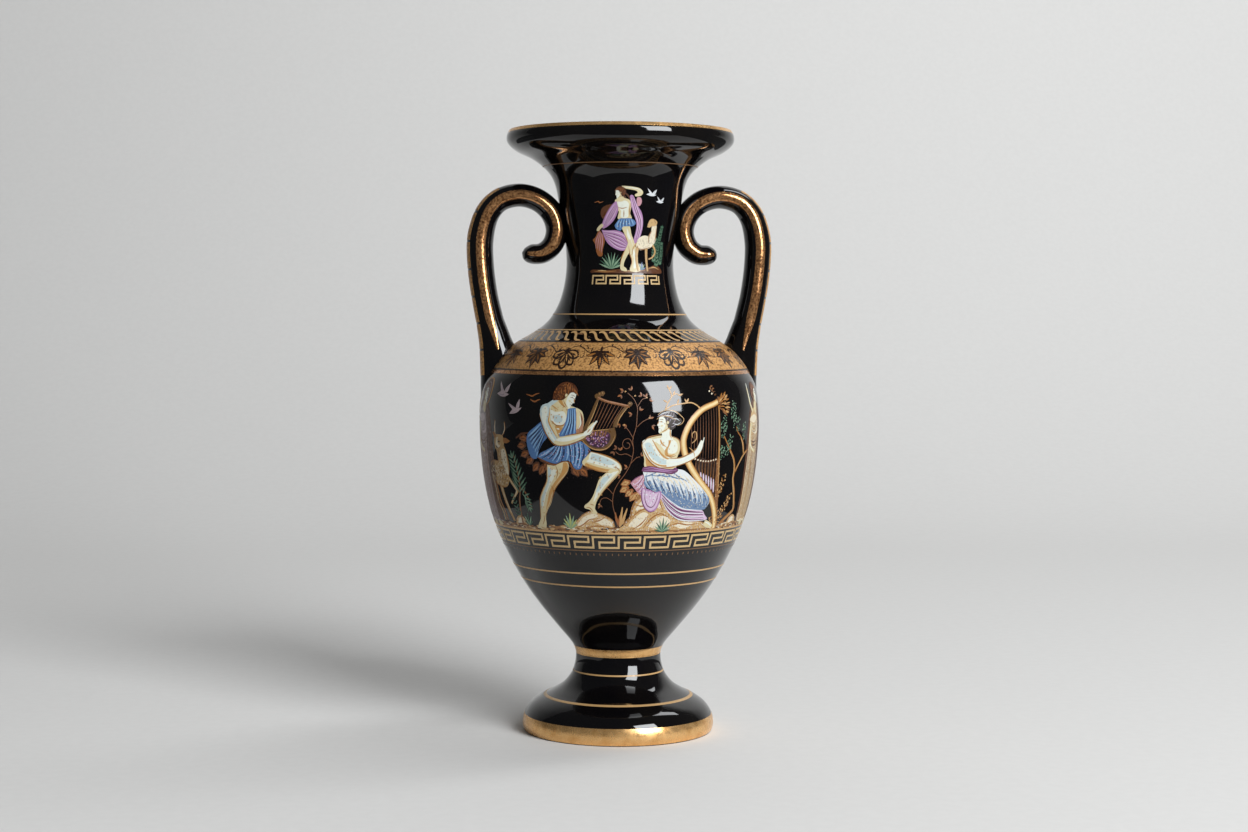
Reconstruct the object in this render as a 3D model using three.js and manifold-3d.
// Decorative amphora in glazed earthenware: a pedestal vase with two scroll handles.
// It is built as a potter builds it. The foot, belly, shoulder, neck and mouth are made as separate
// rings and luted edge to edge with slip, and two scroll handles are luted to the shoulder and the neck.
// Millimetres, +Z up. The origin is the centre of the foot ring on the table, and the handles lie along X.
import * as THREE from "three";
import { mergeVertices } from "three/addons/utils/BufferGeometryUtils.js";
import Module from "manifold-3d";

// ---- driving dimensions -------------------------------------------------------------------------
const HEIGHT = 300; // table to the top of the lip
const BELLY_RADIUS = 70; // widest point of the belly
const LIP_RADIUS = 56.6; // widest point of the lip
const NECK_RADIUS = 26.7; // narrowest point of the neck
const STEM_RADIUS = 21.3; // narrowest point of the stem
const FOOT_RADIUS = 48; // widest point of the foot
const WALL = 4.6; // thickness of the wall
const SEAM = 0.3; // thickness of a slip joint

// Heights of the slip joints between the sections.
const STEM_TOP = 39.4;
const BELLY_TOP = 166;
const SHOULDER_TOP = 208;
const NECK_TOP = 272;

const BOWL_FLOOR = 7; // clay between the stem and the inside of the bowl
const RING_WIDTH = 7; // flat of the foot ring, which stands on the table
const RING_EDGE = 0.9; // how far the flat stays inside the foot's widest point

const HANDLE_WIDTH = 17; // across the strap, along Y
const HANDLE_SIDES = 14; // facets round the strap
const HANDLE_STEPS = 48; // facets along the strap
const TURNED_SIDES = 40; // facets round the vase
const STEPS_PER_SPAN = 2; // facets between two points of an outline

// ---- outlines: points a smooth curve passes through, as [radius, height] from the table upwards ---
const FOOT_OUTLINE = [
  [FOOT_RADIUS - RING_EDGE, 0],
  [FOOT_RADIUS, 3.4],
  [FOOT_RADIUS - 0.8, 8.4],
  [44.2, 13],
  [39.4, 16.6],
  [33.4, 19.6],
  [27.6, 23.4],
  [23.4, 28.8],
  [21.6, 34.6],
  [STEM_RADIUS, STEM_TOP],
];

const BODY_OUTLINE = [
  [STEM_RADIUS, STEM_TOP],
  [23.3, 44],
  [30.8, 53],
  [39, 63],
  [47, 74.2],
  [54.4, 87],
  [60.8, 101],
  [65.6, 116],
  [68.6, 133],
  [BELLY_RADIUS, 152],
  [69.5, 166],
  [67.4, 175.6],
  [63, 183.4],
  [57.4, 190.2],
  [50.4, 195.4],
  [42.6, 199.9],
  [35.4, 206],
  [30.6, 214],
  [27.8, 223.6],
  [NECK_RADIUS, 234],
  [27.5, 246],
  [29.7, 258.4],
  [32.2, 272],
  [36, 279.4],
  [43.4, 285.6],
  [51.6, 289.6],
  [56, 293.4],
  [LIP_RADIUS, 297],
  [LIP_RADIUS - 1.4, HEIGHT],
];

// Inside of the mouth, from the neck's bore up to the flat of the rim.
const LIP_INSIDE = [
  [27.8, 273.6],
  [32.2, 280.6],
  [40, 287.4],
  [46.8, 292.2],
  [50.6, 297.6],
  [52.2, HEIGHT],
];

// Underside of the foot, from the middle out to the ring it stands on.
const UNDERSIDE = [
  [0, 30.6],
  [12, 29],
  [18.6, 22],
  [26, 14.6],
  [34.6, 9.4],
  [FOOT_RADIUS - RING_EDGE - RING_WIDTH, 0],
];

// Centre line of a handle, from inside the belly over the arch to the tip of the scroll, as [x, z].
const HANDLE_LINE = [
  [55.6, 164],
  [57.6, 175],
  [59.8, 185],
  [62.4, 196],
  [65.2, 207],
  [68, 221],
  [69.6, 235],
  [69.5, 247],
  [66.2, 258.4],
  [59.6, 265.4],
  [50, 267.7],
  [40.8, 265.2],
  [34.3, 259.2],
  [31.7, 251],
  [33.6, 243.6],
  [38.6, 239.2],
  [44.6, 238.6],
  [49, 239.2],
];

// Thickness of the strap along that line, as [share of its length, thickness].
const HANDLE_TAPER = [
  [0, 28],
  [0.07, 24],
  [0.13, 20],
  [0.19, 16.2],
  [0.25, 13.8],
  [0.32, 13.1],
  [0.5, 13.2],
  [0.62, 11.6],
  [0.8, 11.4],
  [0.93, 10.4],
  [1, 9.6],
];
const ROOT_SPREAD = 4; // extra width of the root along Y
const ROOT_SHARE = 0.22; // share of the line over which the root spreads
const TIP_SHARE = 0.965; // share of the line where the scroll starts to round off
const TIP_LEAST = 0.3; // size of the last section against the full one

// ---- helpers ------------------------------------------------------------------------------------
const toVectors = (pairs) => pairs.map(([r, z]) => new THREE.Vector2(r, z));

const smooth = (pairs) =>
  new THREE.SplineCurve(toVectors(pairs)).getPoints((pairs.length - 1) * STEPS_PER_SPAN);

// Value at x of a line through [x, value] pairs in rising x.
function along(pairs, x) {
  const i = Math.max(1, pairs.findIndex(([at]) => at >= x));
  const [[x0, v0], [x1, v1]] = [pairs[i - 1], pairs[i]];
  return v0 + ((v1 - v0) * (x - x0)) / (x1 - x0);
}

// A curve moved sideways by a distance, outwards where it rises.
function offset(points, distance) {
  return points.map((p, i) => {
    const before = points[Math.max(i - 1, 0)];
    const after = points[Math.min(i + 1, points.length - 1)];
    const tangent = after.clone().sub(before).normalize();
    return new THREE.Vector2(p.x + tangent.y * distance, p.y - tangent.x * distance);
  });
}

// The stretch of a rising curve between two heights, with a point exactly on each.
function between(points, low, high) {
  const at = (z) => {
    const i = Math.max(1, points.findIndex((p) => p.y >= z));
    const t = (z - points[i - 1].y) / (points[i].y - points[i - 1].y);
    return points[i - 1].clone().lerp(points[i], t);
  };
  const margin = 0.4;
  const inner = points.filter((p) => p.y > low + margin && p.y < high - margin);
  return [at(low), ...inner, at(high)];
}

// A solid of revolution about Z from a closed outline.
function turned(outline) {
  const closed = [...outline, outline[0].clone()];
  return new THREE.LatheGeometry(closed, TURNED_SIDES).rotateX(Math.PI / 2);
}

// A section of the wall between two heights: the outside curve up, then the inside curve down.
const ring = (outside, inside, low, high) =>
  turned([...between(outside, low, high), ...between(inside, low, high).reverse()]);

const wasm = await Module();
wasm.setup();

function toSolid(geometry) {
  const bare = geometry.clone();
  bare.deleteAttribute("normal");
  bare.deleteAttribute("uv");
  const merged = mergeVertices(bare, 1e-3);
  return new wasm.Manifold(
    new wasm.Mesh({
      numProp: 3,
      vertProperties: new Float32Array(merged.attributes.position.array),
      triVerts: new Uint32Array(merged.index.array),
    }),
  );
}

function toGeometry(solid) {
  const mesh = solid.getMesh();
  const geometry = new THREE.BufferGeometry();
  geometry.setAttribute("position", new THREE.BufferAttribute(mesh.vertProperties, 3));
  geometry.setIndex(new THREE.BufferAttribute(mesh.triVerts, 1));
  geometry.computeVertexNormals();
  return geometry;
}

// ---- glazes -------------------------------------------------------------------------------------
const glaze = (color, roughness, metalness) =>
  new THREE.MeshStandardMaterial({ color, roughness, metalness });

const blackGlaze = () => glaze(0x0c0a0a, 0.08, 0);
const brushedGold = () => glaze(0x5c4222, 0.22, 0.5);

// ---- sections of the vase -----------------------------------------------------------------------
const footOutside = smooth(FOOT_OUTLINE);
const bodyOutside = smooth(BODY_OUTLINE);
const bodyInside = offset(toVectors(BODY_OUTLINE), -WALL);

// Foot: a hollow pedestal, open underneath, standing on a flat ring.
function foot() {
  const top = new THREE.Vector2(0, STEM_TOP);
  return turned([...between(footOutside, 0, STEM_TOP), top, ...toVectors(UNDERSIDE)]);
}

// Belly: a bowl with a closed floor that stands on the stem.
function belly() {
  const bottom = STEM_TOP + SEAM;
  const floor = bottom + BOWL_FLOOR;
  const floorRise = 5;
  const floorRadius = 14;
  return turned([
    ...between(bodyOutside, bottom, BELLY_TOP),
    ...between(bodyInside, floor + floorRise, BELLY_TOP).reverse(),
    new THREE.Vector2(floorRadius, floor + 1),
    new THREE.Vector2(0, floor),
    new THREE.Vector2(0, bottom),
  ]);
}

const shoulder = () => ring(bodyOutside, bodyInside, BELLY_TOP + SEAM, SHOULDER_TOP);
const neck = () => ring(bodyOutside, bodyInside, SHOULDER_TOP + SEAM, NECK_TOP);

// Mouth: the flare above the neck and the rolled lip.
function mouth() {
  const bottom = NECK_TOP + SEAM;
  const [boreEdge] = between(bodyInside, bottom, HEIGHT - WALL);
  return turned([
    ...between(bodyOutside, bottom, HEIGHT),
    ...toVectors(LIP_INSIDE).reverse(),
    boreEdge,
  ]);
}

// ---- handles ------------------------------------------------------------------------------------
// A strap of oval section swept along the centre line: a closed cylinder bent to it, with a spread
// root inside the shoulder and a rounded tip.
function strap() {
  const line = new THREE.CatmullRomCurve3(
    HANDLE_LINE.map(([x, z]) => new THREE.Vector3(x, 0, z)),
    false,
    "centripetal",
  );
  const sweep = new THREE.CylinderGeometry(1, 1, 1, HANDLE_SIDES, HANDLE_STEPS);
  const vertices = sweep.attributes.position;
  for (let i = 0; i < vertices.count; i++) {
    const share = vertices.getY(i) + 0.5;
    const centre = line.getPointAt(share);
    const tangent = line.getTangentAt(share);
    const outwards = new THREE.Vector3(tangent.z, 0, -tangent.x);
    const size = tipSize(share) / 2;
    const reach = vertices.getX(i) * along(HANDLE_TAPER, share) * size;
    const spread = ROOT_SPREAD * Math.max(0, 1 - share / ROOT_SHARE);
    const point = centre.addScaledVector(outwards, reach);
    vertices.setXYZ(i, point.x, -vertices.getZ(i) * (HANDLE_WIDTH + spread) * size, point.z);
  }
  return toSolid(sweep);
}

// Size of a section against the full one: it falls along a quarter circle at the scroll's tip.
function tipSize(share) {
  const fall = Math.max(0, (share - TIP_SHARE) / (1 - TIP_SHARE));
  return Math.max(TIP_LEAST, Math.sqrt(Math.max(0, 1 - fall * fall)));
}

// The vase grown by a slip joint all round, which trims the handles where they meet it.
function trimmer() {
  const grown = offset(bodyOutside, SEAM);
  const low = new THREE.Vector2(0, grown[0].y);
  const high = new THREE.Vector2(0, grown[grown.length - 1].y);
  return toSolid(turned([low, ...grown, high]));
}

// ---- assembly -----------------------------------------------------------------------------------
const amphora = new THREE.Group();

function add(name, geometry, material, turn = 0) {
  const mesh = new THREE.Mesh(geometry, material);
  mesh.name = name;
  mesh.rotation.z = turn;
  amphora.add(mesh);
}

add("foot", foot(), blackGlaze());
add("belly", belly(), blackGlaze());
add("shoulder", shoulder(), blackGlaze());
add("neck", neck(), blackGlaze());
add("mouth", mouth(), blackGlaze());

const handle = toGeometry(strap().subtract(trimmer()));
add("handle_right", handle, brushedGold());
add("handle_left", handle.clone(), brushedGold(), Math.PI);

export default amphora;
